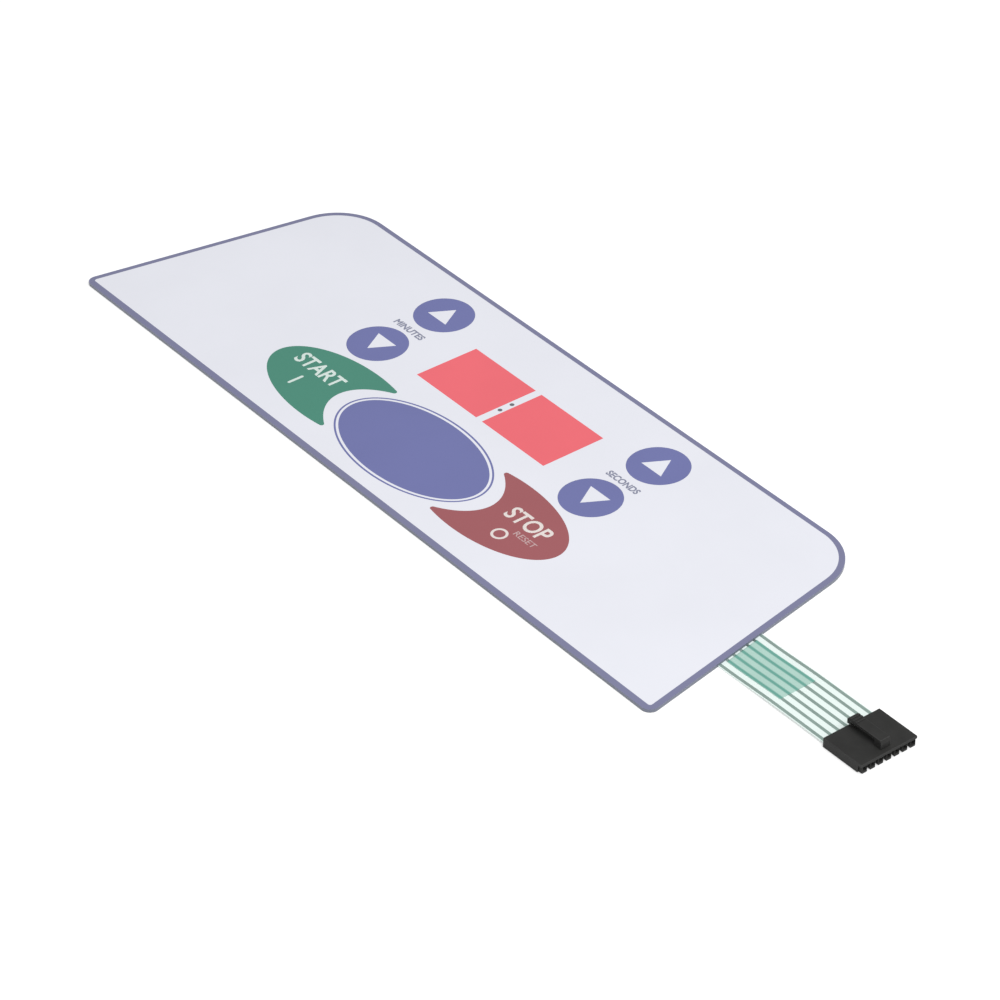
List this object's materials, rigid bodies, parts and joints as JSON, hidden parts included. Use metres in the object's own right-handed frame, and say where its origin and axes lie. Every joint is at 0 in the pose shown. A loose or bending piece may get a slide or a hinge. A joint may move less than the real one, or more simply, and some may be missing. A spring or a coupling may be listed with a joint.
{
  "type": "membrane keypad",
  "caption": "Flat membrane keypad with arrow keys, start and stop keys, red display windows and a film tail that ends in a latching connector.",
  "frame": {"origin": "middle of the panel's back face: half way between its near and far edges, on its line of symmetry", "axes": "+X along the panel towards the tail and connector, +Y towards the shorter edge with the large corner radii, +Z out of the printed face"},
  "size_m": [0.2883, 0.0816, 0.0055],
  "materials": {
    "liner_paper": "smooth, silicone coated",
    "clear_adhesive": "tacky, clear",
    "circuit_film": "translucent polyester",
    "silver_ink": "screen printed, matt",
    "spacer_film": "adhesive coated both sides",
    "overlay_clear": "clear, velvet texture",
    "ground_ink": "satin print, pale grey lilac",
    "blue_ink": "satin print",
    "green_ink": "satin print",
    "red_ink": "satin print",
    "window_ink": "transparent red",
    "grey_ink": "satin print",
    "coat_ink": "translucent green",
    "housing_plastic": "moulded, fine matt",
    "tin_plate": "tin plated"
  },
  "bodies": {
    "root": {"release_liner": "liner_paper", "rear_adhesive": "clear_adhesive", "lower_circuit_film": "circuit_film", "lower_conductors": "silver_ink", "circuit_spacer": "spacer_film", "common_joint": "silver_ink", "upper_conductors": "silver_ink", "upper_circuit_film": "circuit_film", "overlay_adhesive": "clear_adhesive", "overlay_film": "overlay_clear", "ground_print": "ground_ink", "border_print": "blue_ink", "left_window_print": "window_ink", "right_window_print": "window_ink", "colon_print": "grey_ink", "left_up_key_print": "blue_ink", "left_down_key_print": "blue_ink", "right_up_key_print": "blue_ink", "right_down_key_print": "blue_ink", "start_key_print": "green_ink", "stop_key_print": "red_ink", "oval_print": "blue_ink", "oval_ring_print": "blue_ink", "tail_dielectric": "coat_ink", "connector_housing": "housing_plastic", "crimp_contacts": "tin_plate"}
  },
  "joints": []
}
